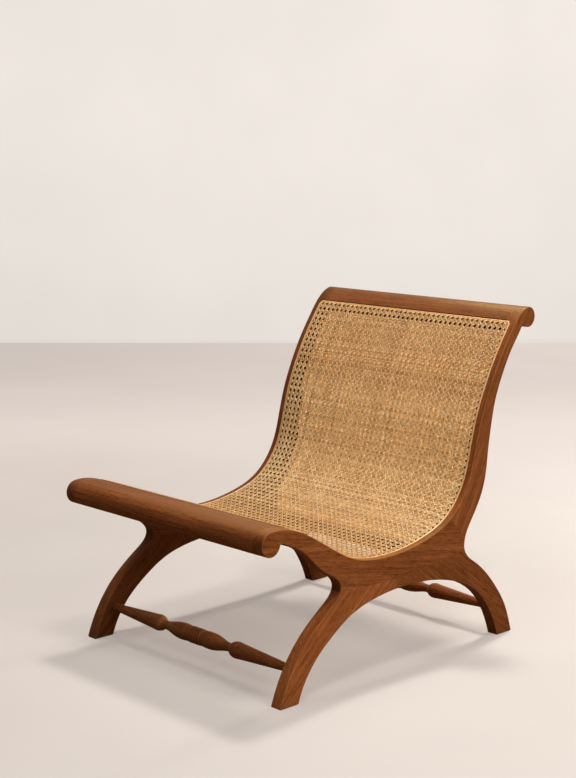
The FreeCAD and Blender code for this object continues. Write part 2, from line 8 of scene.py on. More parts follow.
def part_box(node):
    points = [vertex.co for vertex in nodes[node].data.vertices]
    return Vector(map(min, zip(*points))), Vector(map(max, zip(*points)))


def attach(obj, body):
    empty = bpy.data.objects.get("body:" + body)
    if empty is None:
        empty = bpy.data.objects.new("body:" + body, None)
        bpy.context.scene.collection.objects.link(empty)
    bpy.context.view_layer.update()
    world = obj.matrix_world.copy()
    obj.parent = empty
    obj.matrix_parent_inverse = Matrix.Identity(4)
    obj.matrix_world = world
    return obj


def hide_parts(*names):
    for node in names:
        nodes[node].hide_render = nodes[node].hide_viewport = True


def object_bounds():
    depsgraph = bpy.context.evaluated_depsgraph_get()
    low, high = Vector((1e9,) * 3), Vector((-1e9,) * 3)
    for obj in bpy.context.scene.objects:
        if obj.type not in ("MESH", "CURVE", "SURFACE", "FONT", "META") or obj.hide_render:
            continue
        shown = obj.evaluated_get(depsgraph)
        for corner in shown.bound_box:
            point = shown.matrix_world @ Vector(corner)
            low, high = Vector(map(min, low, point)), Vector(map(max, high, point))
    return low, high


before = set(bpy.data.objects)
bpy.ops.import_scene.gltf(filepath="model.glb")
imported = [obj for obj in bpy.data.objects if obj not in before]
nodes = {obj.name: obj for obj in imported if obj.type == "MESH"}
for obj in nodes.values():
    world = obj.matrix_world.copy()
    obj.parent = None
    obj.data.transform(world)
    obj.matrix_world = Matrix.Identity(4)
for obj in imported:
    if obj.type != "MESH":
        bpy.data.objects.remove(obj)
cad_low, cad_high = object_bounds()

# A cane lounge chair: the wooden pieces keep their solids, and the cane sheets and reeds are woven here.
# Metres, +Z up, the chair faces -Y. Shares and shades go from 0 to 1, and a shade of 0 is the darkest.

# Cane weave: pairs of strands both ways, and single diagonals both ways. A diagonal's swing up and down is in
# strand thicknesses.
PITCH_ACROSS = 0.01426
PITCH_UP = 0.01485
PAIR_SPACING = 0.00345
STRAND_WIDTH = 0.0029
DIAGONAL_WIDTH = 0.0023
DIAGONAL_SWING = 1.07
STRAND_THICKNESS = 0.00125
STRAND_SHOULDER = STRAND_THICKNESS / 6
STEPS_PER_PITCH = 6
SHORTEST_RUN = 3
PAIR_SHADES = (0.0, 0.7)
DIAGONAL_SHADES = (0.5, 1.0)
WEAVE_HEIGHT = -0.0005
WEAVE_SEED = 7

# Where the front sheet's holes fall: one column's place, and the first row's distance below the panel's top
FRONT_COLUMN = 0.0045
FRONT_ROW = 0.0075

# Where a sheet goes into its groove: how far in, where it starts to drop, how deep, and the share of the
# weave's ups and downs that is left there
TUCK = 0.003
TUCK_RUN = 0.005
TUCK_DROP = 0.0018
TUCK_SHARE = 0.2

# The front sheet is pulled straighter than its frame, so it stands off the frame where the seat meets the
# back: how far, where along the sheet, how far that reaches each way, and how soon it starts from the edges
STAND_OFF = 0.010
STAND_OFF_SHARE = 0.575
STAND_OFF_DOWN = 0.23
STAND_OFF_UP = 0.20
STAND_OFF_RUN = 0.028

# Closed weave of the rear sheet: wide strands over two and under two, turned about in blocks
CLOSED_SPACING = 0.0078
CLOSED_STEPS = 3
CLOSED_OVER = 2
CLOSED_BLOCK = 8
CLOSED_RELIEF = 0.0008
# The seams between strands get a painted shade
CLOSED_PAINTED_SEAM_SHADE = 0.1
CLOSED_HALF_THICKNESS = 0.0002
CLOSED_HEIGHT = -0.0008

# Reed splines round the panels: a flat foot, upright sides to a shoulder, and a slope up to the crown
REED_WIDTH = 0.005
REED_DROP = 0.0022
REED_SHOULDER = 0.0004
REED_SLOPE = 0.0010
REED_SLOPE_SHARE = 0.6
REED_CROWN = 0.0013
REED_SINK = 0.0011
REED_SHADE = 0.5
REED_STEP_UP = 0.004
REED_STEP_ACROSS = 0.02
CORNER_RADIUS = 0.011
CORNER_STEPS = 10

# Curves read from the sheets by rays that start outside the chair and stay a little inside the sheets' ends
RAY_START = 2
RAY_INSET = 0.0004
CURVE_SAMPLES = 1600
CURVE_STEP = 0.001
SMOOTHING = 0.006
BELL_REACH = 4
SHARP_ANGLE = math.radians(50)

# Colours of a material, from dark to light, at these places of its pattern
COLOUR_PLACES = (0.25, 0.50, 0.75)
WOOD_COLOURS = [(0.150, 0.0435, 0.0115), (0.200, 0.0612, 0.0170), (0.256, 0.0860, 0.0258)]
CANE_COLOURS = [(0.470, 0.248, 0.085), (0.770, 0.490, 0.203), (0.915, 0.694, 0.373)]
REAR_CANE_COLOURS = [(0.455, 0.290, 0.145), (0.775, 0.540, 0.305), (0.915, 0.690, 0.425)]
REED_COLOURS = [(0.470, 0.230, 0.080), (0.620, 0.325, 0.118), (0.760, 0.435, 0.180)]

# Patterns of the wood: how fine they are along and across the grain, their detail and their distortion
BANDS = (3.0, 110.0, 3.0, 0.5)
STREAKS = (13.0, 340.0, 4.0, 0.0)
PORES = (70.0, 700.0, 2.0, 0.0)
PATCHES = (4.0, 10.0, 2.0, 0.0)
PATTERN_ROUGHNESS = 0.6

# What streaks, pores and patches do to the wood's colour: their share, and a factor at places of the pattern
STREAK_SHARE = 0.9
STREAK_FACTORS = [(0.28, (0.60, 0.55, 0.50)), (0.50, (1, 1, 1)), (0.75, (1.25, 1.28, 1.31))]
PORE_SHARE = 0.75
PORE_FACTORS = [(0.36, (0.45, 0.40, 0.36)), (0.50, (1, 1, 1))]
PATCH_FACTORS = [(0.3, (0.86, 0.84, 0.82)), (0.7, (1.12, 1.13, 1.14))]

# Faces across the grain, a painted highlight on edges where a side face turns away, and painted shade in
# corners
END_GRAIN = (0.034, 0.011, 0.003)
END_SHARE = 0.45
EDGE_HIGHLIGHT = (0.42, 0.17, 0.055)
EDGE_HIGHLIGHT_SHARE = 0.45
EDGE_HIGHLIGHT_RANGE = (0.04, 0.2)
CREVICE_REACH = 0.007
CREVICE_SAMPLES = 6
PAINTED_SHADE_SHARE = 0.85
PAINTED_SHADE_FACTORS = [(0.25, (0.32, 0.27, 0.22)), (0.75, (1, 1, 1))]

# A painted sheen that makes tops paler towards the chair's right side: its colour, how steeply a face looks
# up there, and the place across the chair where it is full
PAINTED_TOP_SHEEN = (0.30, 0.145, 0.055)
SHEEN_FACING = (0.66, 0.99)
SHEEN_FULL = 0.16

# Rings round the middle of a turned piece: how far apart, how far out, how sharp, and their colour's factor
RING_SPACING = 0.008
RING_REACH = 0.0185
RING_LINE = (0.6, 0.95)
RING_FACTOR = (0.50, 0.44, 0.38)

# The wood's gloss: roughness from dark to light streaks, and how much rougher it is where a face looks down
WOOD_ROUGHNESS = (0.54, 0.38)
DULL_FACING = (-0.1, 0.4)
DULL_ROUGHNESS = (0.5, 0.0)
WOOD_SPECULAR = 0.2
WOOD_SHEEN = (1.0, 0.5, 0.22, 1.0)
PORE_BUMP = 0.35
PORE_DEPTH = 0.0004

# Cane: slow changes of colour, dark flecks, gloss, and the share of light that goes through the strands
SLOW_SCALE = 90.0
SLOW_DETAIL = 3.0
STRAND_SHARE = 0.5
FLECK_SCALE = 300.0
FLECK_DETAIL = 2.0
FLECK_FACTORS = [(0.34, (0.36, 0.28, 0.20)), (0.48, (1, 1, 1))]
FRONT_FLECKS = 0.35
REAR_FLECKS = 0.2
REED_FLECKS = 0.5
FRONT_GLOW = 0.32
REAR_GLOW = 0.7
CANE_ROUGHNESS = 0.38
CANE_SPECULAR = 0.4

# The front sheet is tinted browner towards the seat's front, and paler with a painted sheen where it bends up
# into the back: places along the chair's depth, with the tint there
SHEET_TINTS_AND_SHEEN = [
    (-0.02, (0.83, 0.735, 0.655)), (0.11, (0.86, 0.845, 0.85)), (0.19, (1.09, 1.19, 1.32)),
    (0.23, (1.09, 1.19, 1.32)), (0.27, (0.97, 0.94, 0.94)),
]

# The grain's direction in each plank, and how far its pattern moves from plank to plank
GRAINS = {
    "seat_rail": (0.0, 0.98, -0.17),
    "back_post": (0.0, 0.46, 0.89),
    "front_leg": (0.0, 0.74, 0.67),
    "rear_leg": (0.0, 0.83, -0.56),
}
ACROSS = (1.0, 0.0, 0.0)
SIDE_SHIFTS = {"left": 0.0, "right": 0.37}
PLANK_SHIFT = (0.13, 0.07)
CROSS_SHIFT = (0.21, 0.11, 0.05)
DOWEL_SHIFT = (0.5, 0.5, 0.5)
DOWEL_TONE = 1.6

# What differs in each wooden piece: how light it is, its gloss, how strong the painted sheen on its top is,
# and rings
# How light a piece is comes partly from its plank's own colour and partly from painted light and shade: the
# left side's pieces and the right rear leg are darker, and the right front leg is lighter.
SIDE_LOOKS = {
    "left_seat_rail": {"tone": 0.73},
    "left_back_post": {"tone": 0.75},
    "left_front_leg": {"tone": 0.66},
    "left_rear_leg": {"tone": 0.66},
    "right_seat_rail": {"tone": 0.97, "specular": 0.1, "painted_sheen": 0.3},
    "right_back_post": {"tone": 1.0},
    "right_front_leg": {"tone": 1.30},
    "right_rear_leg": {"tone": 0.88},
}
CROSS_LOOKS = {
    "front_rail": {"tone": 0.77, "specular": 0.04, "painted_sheen": 0.30},
    "crest_rail": {"tone": 0.93},
    "lower_back_rail": {"tone": 0.9},
    "front_stretcher": {"tone": 0.74, "ringed": True},
    "rear_stretcher": {"tone": 1.0, "ringed": True},
}

# Camera
CAMERA_PLACE = Vector((2.2717, -2.3548, 1.0772))
CAMERA_AZIMUTH = math.radians(44.63)
CAMERA_ELEVATION = math.radians(8.87)
CAMERA_ROLL = math.radians(1.13)
CAMERA_LENS = 68.78
CAMERA_SENSOR = 36.0
CAMERA_REACH = 50.0
VIEW_FLAT = Vector((-math.sin(CAMERA_AZIMUTH), math.cos(CAMERA_AZIMUTH), 0))
VIEW_RIGHT = Vector((math.cos(CAMERA_AZIMUTH), math.sin(CAMERA_AZIMUTH), 0))
UPWARD = Vector((0, 0, 1))

# Floor and wall
FLOOR_REACH = 12.0
WALL_DISTANCE = 8.65
WALL_TURN = math.radians(9.0)
WALL_HEIGHT = 6.0
# Where the even light of floor and wall starts to grow, and where it is full
STAGE_NEAR = 0.6
STAGE_FAR = 3.0
STAGE_ROUGHNESS = 0.9
BLOTCH_SCALE = 1.3
BLOTCH_DETAIL = 6.0
BLOTCH_RANGE = (0.3, 0.7)
STAGE_MOTTLE = 0.02
# Each has its own light's colour, its colour under the lamps, the duller colour of the light that it sends
# on, fades as a direction, a reach along it and the factors there, the share of the look that reflections
# show, and the share of its own light near the chair and far away
# The fades are painted light and shade: the floor is dimmer far away and towards the camera and brighter to
# the right, and the wall is brighter to the right and darker towards its foot.
FLOOR_LOOK = {
    "seen": (0.86, 0.755, 0.69),
    "shaded": (0.45, 0.413, 0.384),
    "unseen": (0.21, 0.17, 0.135),
    "fades": [
        (VIEW_RIGHT, (-2.0, 2.0), (0.90, 1.09)),
        (VIEW_FLAT, (2.0, 4.4), (1.0, 0.83)),
        (VIEW_FLAT, (-1.2, 0.4), (0.93, 1.0)),
    ],
    "reflected": 0.1,
    "own_light": (0.30, 0.95),
}
WALL_LOOK = {
    "seen": (0.88, 0.815, 0.755),
    "shaded": (0.88, 0.815, 0.755),
    "unseen": (0.40, 0.37, 0.34),
    "fades": [
        (VIEW_RIGHT, (-3.0, 1.0), (0.95, 1.01)),
        (UPWARD, (-0.04, 0.04), (0.88, 0.98)),
        (UPWARD, (0.0, 0.6), (0.95, 1.0)),
        (UPWARD, (0.3, 1.6), (0.98, 1.02)),
    ],
    "reflected": 0.35,
    "own_light": (1.0, 1.0),
}

# Light
LAMP_COLOUR = (1.0, 0.975, 0.945)
SHEEN_COLOUR = (1.0, 0.95, 0.45)
LAMP_TARGET = (0.0, 0.0, 0.3)
WORLD_COLOUR = (1.0, 0.90, 0.82, 1.0)
WORLD_STRENGTH = 0.13
WORLD_SEEN = (0.86, 0.80, 0.745, 1.0)


def smoothed(values, spread):
    """Values along a line, averaged over a bell of that spread in samples, with straight ends."""
    reach = int(BELL_REACH * spread)
    before = values[0] - (values[1:reach + 1] - values[0])[::-1]
    after = values[-1] - (values[-reach - 1:-1] - values[-1])[::-1]
    padded = np.concatenate([before, values, after])
    bell = np.exp(-0.5 * (np.arange(-reach, reach + 1) / spread) ** 2)
    return np.convolve(padded, bell / bell.sum(), mode="valid")


class Panel:
    """A cane sheet's outer face as a curve in Y and Z, measured along itself from the bottom."""

    def __init__(self, node, origin, direction, low, high):
        points = []
        for sample in np.linspace(low + RAY_INSET, high - RAY_INSET, CURVE_SAMPLES):
            hit, place, _, _ = nodes[node].ray_cast(origin(sample), Vector(direction))
            if hit:
                points.append((place.y, place.z))
        points = np.array(points)
        length = np.concatenate([[0], np.cumsum(np.hypot(*np.diff(points, axis=0).T))])
        self.along = np.arange(0, length[-1], CURVE_STEP)
        spread = SMOOTHING / CURVE_STEP
        self.y = smoothed(np.interp(self.along, length, points[:, 0]), spread)
        self.z = smoothed(np.interp(self.along, length, points[:, 1]), spread)
        slope = np.stack([np.gradient(self.y), np.gradient(self.z)], axis=1)
        slope /= np.linalg.norm(slope, axis=1)[:, None]
        facing = -1 if direction[1] < 0 else 1
        self.normal_y = -facing * slope[:, 1]
        self.normal_z = facing * slope[:, 0]
        self.top = self.along[-1]

    def places(self, x, along, height):
        """Points on the panel, and its outward normals there."""
        y = np.interp(along, self.along, self.y)
        z = np.interp(along, self.along, self.z)
        normal_y = np.interp(along, self.along, self.normal_y)
        normal_z = np.interp(along, self.along, self.normal_z)
        normal = np.stack([np.zeros_like(y), normal_y, normal_z], axis=1)
        normal /= np.linalg.norm(normal, axis=1)[:, None]
        return np.stack([x, y, z], axis=1) + normal * height[:, None], normal


class Strips:
    """Gathers swept strips into one mesh."""

    def __init__(self):
        self.corners = []
        self.faces = []
        self.tones = []
        self.count = 0

    def add(self, panel, x, along, height, section, tone):
        """Sweeps a section, as pairs of sideways and outward distance, along a line on a panel."""
        places, normal = panel.places(x, along, height)
        travel = np.gradient(places, axis=0)
        side = np.cross(travel, normal)
        side /= np.linalg.norm(side, axis=1)[:, None]
        rings = [places + side * sideways + normal * outward for sideways, outward in section]
        rings = np.stack(rings, axis=1)
        around = len(section)
        rows = len(places)
        self.corners.append(rings.reshape(-1, 3))
        start = self.count + np.arange(rows - 1)[:, None] * around
        ahead = start + around
        now = np.arange(around)
        following = (now + 1) % around
        quads = np.stack([start + now, start + following, ahead + following, ahead + now], axis=2)
        self.faces += quads.reshape(-1, 4).tolist()
        self.faces.append([self.count + corner for corner in reversed(range(around))])
        last = self.count + (rows - 1) * around
        self.faces.append([last + corner for corner in range(around)])
        self.tones.append(np.full(rows * around, tone))
        self.count += rows * around

    def piece(self, name, material):
        """The strips as one piece of the chair."""
        corners = np.concatenate(self.corners)
        return woven_piece(name, corners, self.faces, np.concatenate(self.tones), material)


def woven_piece(name, corners, faces, tones, material):
    """A mesh with a shade for each corner, as one piece of the chair."""
    mesh = bpy.data.meshes.new(name)
    mesh.from_pydata(corners.tolist(), [], faces)
    shade = mesh.attributes.new("tone", "FLOAT", "POINT")
    shade.data.foreach_set("value", tones.astype(np.float32))
    mesh.shade_smooth()
    mesh.set_sharp_from_angle(angle=SHARP_ANGLE)
    mesh.materials.append(material)
    made = bpy.data.objects.new(name, mesh)
    bpy.context.scene.collection.objects.link(made)
    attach(made, "root")
    return made


def strand_section(width):
    """A strand's section: flat below and crowned above."""
    half = width / 2
    low = -STRAND_THICKNESS / 2
    high = STRAND_THICKNESS / 2
    return [(-half, low), (half, low), (half, STRAND_SHOULDER), (0, high), (-half, STRAND_SHOULDER)]


def over_under(phase, first_sign):
    """Height of a paired strand along its own pitch: it passes the other pair's strands on opposite sides."""
    reach = PAIR_SPACING / 2 / PITCH_ACROSS
    keys = [0.0, 0.5 - reach, 0.5 + reach, 1.0]
    heights = [0.0, first_sign, -first_sign, 0.0]
    return np.interp(phase % 1.0, keys, heights) * STRAND_THICKNESS / 2


def margin_inside(panel, x, along, half_width):
    """Distance inside the reeds of a panel with two rounded upper corners."""
    from_side = half_width(along) - np.abs(x)
    from_top = panel.top - along
    corner = (from_side < CORNER_RADIUS) & (from_top < CORNER_RADIUS)
    round_corner = CORNER_RADIUS - np.hypot(CORNER_RADIUS - from_side, CORNER_RADIUS - from_top)
    margin = np.where(corner, round_corner, np.minimum(from_side, from_top))
    return np.minimum(margin, along)


def tuck_drop(margin):
    """How far a sheet has dropped into its groove at a distance inside the reeds."""
    return TUCK_DROP * (1 - np.clip(margin / TUCK_RUN, 0, 1)) ** 2


def runs_of(kept):
    """Start and end of each unbroken run of kept samples."""
    edges = np.flatnonzero(np.diff(np.concatenate([[0], kept.astype(int), [0]])))
    return zip(edges[::2], edges[1::2])


def stand_off(panel, x, along, half_width):
    """How far the pulled sheet stands off the frame's curve."""
    middle = panel.top * STAND_OFF_SHARE
    reach = np.where(along < middle, STAND_OFF_DOWN, STAND_OFF_UP)
    inset = np.maximum(half_width(along) - np.abs(x), 0)
    return STAND_OFF * np.exp(-((along - middle) / reach) ** 2) * (1 - np.exp(-inset / STAND_OFF_RUN))


def closed_weave(panel, name, half_width, material):
    """Weaves the rear sheet without holes, as one thin closed skin with the strands' relief on both faces."""
    randomness = np.random.default_rng(WEAVE_SEED + 1)
    widest = half_width(np.array([panel.top]))[0]
    step = CLOSED_SPACING / CLOSED_STEPS
    reach = math.ceil((widest + TUCK) / step)
    x_line = np.arange(-reach, reach + 1) * step
    up_line = np.arange(-TUCK, panel.top + TUCK, step)

    # Which strand each sample lies on, and whether the upright one is on top
    upright = np.arange(len(x_line)) // CLOSED_STEPS
    level = np.arange(len(up_line)) // CLOSED_STEPS
    zigzag = upright % (2 * CLOSED_BLOCK)
    zigzag = np.where(zigzag < CLOSED_BLOCK, zigzag, 2 * CLOSED_BLOCK - 1 - zigzag)
    upright_over = (level[:, None] + zigzag[None, :]) % (2 * CLOSED_OVER) < CLOSED_OVER
    size = upright_over.shape

    # Height and shade of the strands
    within = np.arange(CLOSED_STEPS) / CLOSED_STEPS
    crown = 1 - (2 * within - 1) ** 2
    upright_crown = np.broadcast_to(crown[np.arange(len(x_line)) % CLOSED_STEPS][None, :], size)
    level_crown = np.broadcast_to(crown[np.arange(len(up_line)) % CLOSED_STEPS][:, None], size)
    upright_shades = randomness.uniform(size=upright[-1] + 1)
    level_shades = randomness.uniform(size=level[-1] + 1)
    upright_tone = np.broadcast_to(upright_shades[upright][None, :], size)
    level_tone = np.broadcast_to(level_shades[level][:, None], size)

    x, along = [grid.ravel() for grid in np.meshgrid(x_line, up_line)]
    margin = margin_inside(panel, x, along, half_width)
    middle = CLOSED_HEIGHT - tuck_drop(margin)
    corners = []
    tones = []
    for side, over in ((1, upright_over), (-1, ~upright_over)):
        crowned = np.where(over, upright_crown, level_crown).ravel()
        relief = crowned * CLOSED_RELIEF + CLOSED_HALF_THICKNESS
        corners.append(panel.places(x, along, middle + side * relief)[0])
        # Painted shade in the seams at the strands' edges
        seam_shade = CLOSED_PAINTED_SEAM_SHADE + (1 - CLOSED_PAINTED_SEAM_SHADE) * crowned
        tones.append(np.where(over, upright_tone, level_tone).ravel() * seam_shade)

    # Faces of both skins, and walls round the rim between them
    under = len(x)
    number = np.arange(under).reshape(size)
    inside = (margin > -TUCK).reshape(size)
    kept = inside[:-1, :-1] & inside[1:, :-1] & inside[:-1, 1:] & inside[1:, 1:]
    ring = np.stack([number[:-1, :-1], number[1:, :-1], number[1:, 1:], number[:-1, 1:]], axis=2)
    faces = ring[kept].tolist() + (ring[kept][:, ::-1] + under).tolist()
    framed = np.pad(kept, 1)
    neighbours = (framed[1:-1, :-2], framed[2:, 1:-1], framed[1:-1, 2:], framed[:-2, 1:-1])
    for turn, neighbour in enumerate(neighbours):
        rim = kept & ~neighbour
        first = ring[..., turn][rim]
        last = ring[..., (turn + 1) % 4][rim]
        faces += np.stack([last, first, first + under, last + under], axis=1).tolist()
    faces = np.array(faces)
    used = np.unique(faces)
    renumbered = np.zeros(2 * under, dtype=int)
    renumbered[used] = np.arange(len(used))
    corners = np.concatenate(corners)[used]
    tones = np.concatenate(tones)[used]
    return woven_piece(name, corners, renumbered[faces].tolist(), tones, material)


def weave(panel, name, column, row, half_width, material):
    """Weaves one sheet: a piece for each of the six ways that its strands run."""
    randomness = np.random.default_rng(WEAVE_SEED)
    reach_x = half_width(np.array([panel.top]))[0] + TUCK
    reach_up = panel.top + TUCK
    row_base = panel.top - row
    fine_x = np.arange(-reach_x, reach_x, PITCH_ACROSS / STEPS_PER_PITCH)
    fine_up = np.arange(-TUCK, reach_up, PITCH_UP / STEPS_PER_PITCH)
    phase_x = (fine_x - column) / PITCH_ACROSS
    phase_up = (fine_up - row_base) / PITCH_UP
    section = strand_section(STRAND_WIDTH)
    diagonal_section = strand_section(DIAGONAL_WIDTH)

    def numbers(low, high, base, pitch):
        return np.arange(math.floor((low - base) / pitch), math.ceil((high - base) / pitch))

    columns = numbers(-reach_x, reach_x, column, PITCH_ACROSS)
    rows = numbers(-TUCK, reach_up, row_base, PITCH_UP)

    def lay(strips, x, along, lift, profile, shades):
        margin = margin_inside(panel, x, along, half_width)
        lift = lift * np.clip(margin / TUCK_RUN, TUCK_SHARE, 1)
        height = WEAVE_HEIGHT + lift - tuck_drop(margin) + stand_off(panel, x, along, half_width)
        for first, last in runs_of(margin > -TUCK):
            if last - first >= SHORTEST_RUN:
                part = slice(first, last)
                shade = randomness.uniform(*shades)
                strips.add(panel, x[part], along[part], height[part], profile, shade)

    pieces = []
    for half, sign in (("a", -1), ("b", 1)):
        upright = Strips()
        level = Strips()
        for index in columns:
            x = column + (index + 0.5) * PITCH_ACROSS + sign * PAIR_SPACING / 2
            lift = over_under(phase_up, sign)
            lay(upright, np.full_like(fine_up, x), fine_up, lift, section, PAIR_SHADES)
        for index in rows:
            along = row_base + (index + 0.5) * PITCH_UP + sign * PAIR_SPACING / 2
            lift = over_under(phase_x, -sign)
            lay(level, fine_x, np.full_like(fine_x, along), lift, section, PAIR_SHADES)
        pieces.append(upright.piece(name + "_upright_" + half, material))
        pieces.append(level.piece(name + "_level_" + half, material))
    for half, sign in (("rising", 1), ("falling", -1)):
        slanted = Strips()
        lift = -sign * STRAND_THICKNESS * DIAGONAL_SWING * np.cos(2 * math.pi * phase_x)
        span = len(columns) + len(rows)
        for index in range(-span, span):
            along = row_base + (sign * phase_x + index + 0.5) * PITCH_UP
            lay(slanted, fine_x, along, lift, diagonal_section, DIAGONAL_SHADES)
        pieces.append(slanted.piece(name + "_" + half, material))
    return pieces


def round_reed_path(panel, half, bottom):
    """Up one side, round the top corners and down the other side, in the middle of the reed."""
    out = half + REED_WIDTH / 2
    top = panel.top + REED_WIDTH / 2
    radius = CORNER_RADIUS + REED_WIDTH / 2
    rising = np.arange(bottom, top - radius, REED_STEP_UP)
    crossing = np.arange(-out + radius, out - radius, REED_STEP_ACROSS)[1:]

    def corner(middle, start):
        places = []
        for step in range(CORNER_STEPS + 1):
            angle = math.radians(start - 90 * step / CORNER_STEPS)
            places.append((middle + radius * math.cos(angle), top - radius + radius * math.sin(angle)))
        return places

    path = [(-out, along) for along in rising]
    path += corner(-out + radius, 180)
    path += [(x, top) for x in crossing]
    path += corner(out - radius, 90)
    path += [(out, along) for along in rising[::-1]]
    return path


def reed(panel, name, path, material):
    """A reed spline with a crowned top, along a path of places across and up the panel."""
    x, along = np.array(path).T
    half = REED_WIDTH / 2
    slope = half * REED_SLOPE_SHARE
    section = [
        (-half, -REED_DROP), (half, -REED_DROP), (half, REED_SHOULDER), (slope, REED_SLOPE), (0, REED_CROWN),
        (-slope, REED_SLOPE), (-half, REED_SHOULDER),
    ]
    strips = Strips()
    strips.add(panel, x, along, np.full_like(x, WEAVE_HEIGHT - REED_SINK), section, REED_SHADE)
    return strips.piece(name, material)


class Shading:
    """The nodes of a material or of the world, with short ways to add to them."""

    def __init__(self, owner):
        owner.use_nodes = True
        self.tree = owner.node_tree

    def feed(self, node, sources):
        """Links a node's sockets to other nodes, or gives them values."""
        for socket, source in sources:
            if isinstance(source, bpy.types.NodeSocket):
                self.tree.links.new(source, node.inputs[socket])
            else:
                node.inputs[socket].default_value = source

    def add(self, kind, sources=(), **settings):
        """A new node."""
        node = self.tree.nodes.new(kind)
        for key, value in settings.items():
            setattr(node, key, value)
        self.feed(node, sources)
        return node

    def maths(self, operation, *values):
        """A sum, product or the like."""
        return self.add("ShaderNodeMath", enumerate(values), operation=operation).outputs[0]

    def dot(self, vector, direction):
        """How far a vector goes along a direction."""
        node = self.add("ShaderNodeVectorMath", [(0, vector), (1, direction)], operation="DOT_PRODUCT")
        return node.outputs["Value"]

    def split(self, vector):
        """The three parts of a vector."""
        return self.add("ShaderNodeSeparateXYZ", [("Vector", vector)]).outputs

    def mapped(self, value, source, result=(0.0, 1.0), **settings):
        """A value moved from one range to another."""
        sockets = ("Value", "From Min", "From Max", "To Min", "To Max")
        sources = zip(sockets, (value, *source, *result))
        return self.add("ShaderNodeMapRange", sources, **settings).outputs["Result"]

    def noise(self, where, **values):
        """Cloudy noise over places."""
        return self.add("ShaderNodeTexNoise", [("Vector", where), *values.items()]).outputs["Fac"]

    def ramp(self, source, stops):
        """A colour from stops of position and colour."""
        node = self.add("ShaderNodeValToRGB", [("Fac", source)])
        elements = node.color_ramp.elements
        while len(elements) < len(stops):
            elements.new(0.5)
        for element, (position, colour) in zip(elements, stops):
            element.position = position
            element.color = (*colour, 1.0)
        return node.outputs["Color"]

    def mixed(self, under, share, over, blend="MIX"):
        """One colour over another."""
        sources = [("Factor", share), (6, under), (7, over)]
        return self.add("ShaderNodeMix", sources, data_type="RGBA", blend_type=blend).outputs[2]

    def tinted(self, under, share, factor):
        """A colour times a factor."""
        return self.mixed(under, share, factor, "MULTIPLY")

    def either(self, share, first, second):
        """A mix of two shaders."""
        return self.add("ShaderNodeMixShader", [("Fac", share), (1, first), (2, second)]).outputs["Shader"]

    def show(self, surface, output="Material Output"):
        """Makes a shader the one that is shown."""
        self.feed(self.tree.nodes[output], [("Surface", surface)])


def new_material(name):
    """A material, its nodes and its principled shader."""
    made = bpy.data.materials.new(name)
    shading = Shading(made)
    return made, shading, shading.tree.nodes["Principled BSDF"]


def ringed_surface(shading, surface, x):
    """Fine dark rings round the middle of a turned piece."""
    turns = shading.maths("MULTIPLY", x, 2 * math.pi / RING_SPACING)
    line = shading.mapped(shading.maths("COSINE", turns), RING_LINE)
    near = shading.maths("LESS_THAN", shading.maths("ABSOLUTE", x), RING_REACH)
    return shading.tinted(surface, shading.maths("MULTIPLY", line, near), (*RING_FACTOR, 1))


def sheened_surface(shading, surface, x, upward, painted_sheen):
    """A painted sheen that makes a top paler towards the chair's right side."""
    across = shading.mapped(x, (cad_low.x, SHEEN_FULL))
    topped = shading.maths("MULTIPLY", across, shading.mapped(upward, SHEEN_FACING))
    return shading.mixed(surface, shading.maths("MULTIPLY", topped, painted_sheen), (*PAINTED_TOP_SHEEN, 1))


